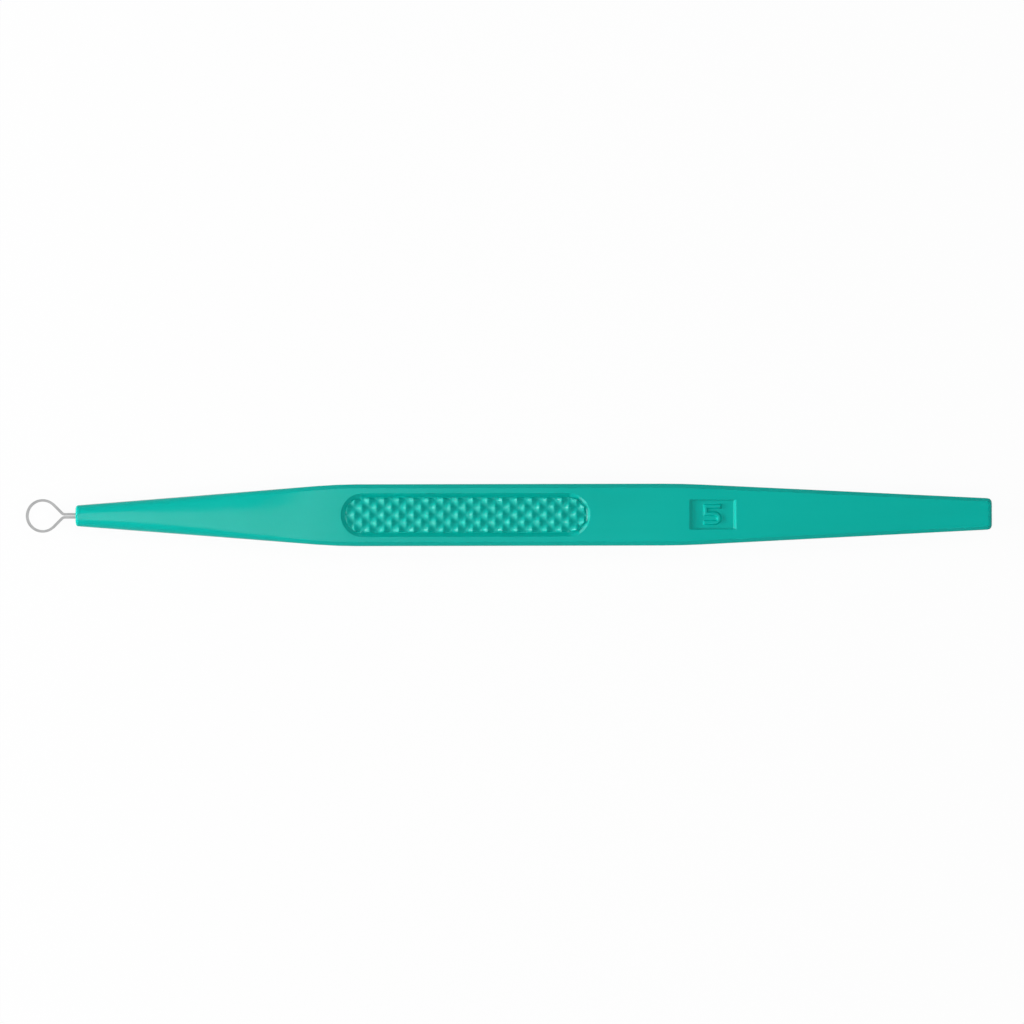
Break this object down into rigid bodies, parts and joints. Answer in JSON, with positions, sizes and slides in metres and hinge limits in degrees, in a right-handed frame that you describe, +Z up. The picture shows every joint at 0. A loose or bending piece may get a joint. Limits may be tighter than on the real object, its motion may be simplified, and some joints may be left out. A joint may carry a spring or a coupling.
{
  "type": "dermal curette",
  "caption": "Single-use dermal curette: slim tapered plastic handle with toothed grip patches and a raised size number, carrying a thin steel ring blade on two short legs.",
  "frame": {"origin": "middle of the whole length and width, at the height of the flat underside that it lies on", "axes": "+X along the handle towards its rear end, with the ring blade at the -X end; +Y across the handle; +Z up, out of the face with the raised number"},
  "size_m": [0.1438, 0.0092, 0.005],
  "materials": {
    "handle_plastic": "semi-gloss moulded",
    "blade_steel": "bright rolled strip"
  },
  "bodies": {
    "root": {"handle": "handle_plastic", "ring_blade": "blade_steel"}
  },
  "joints": []
}
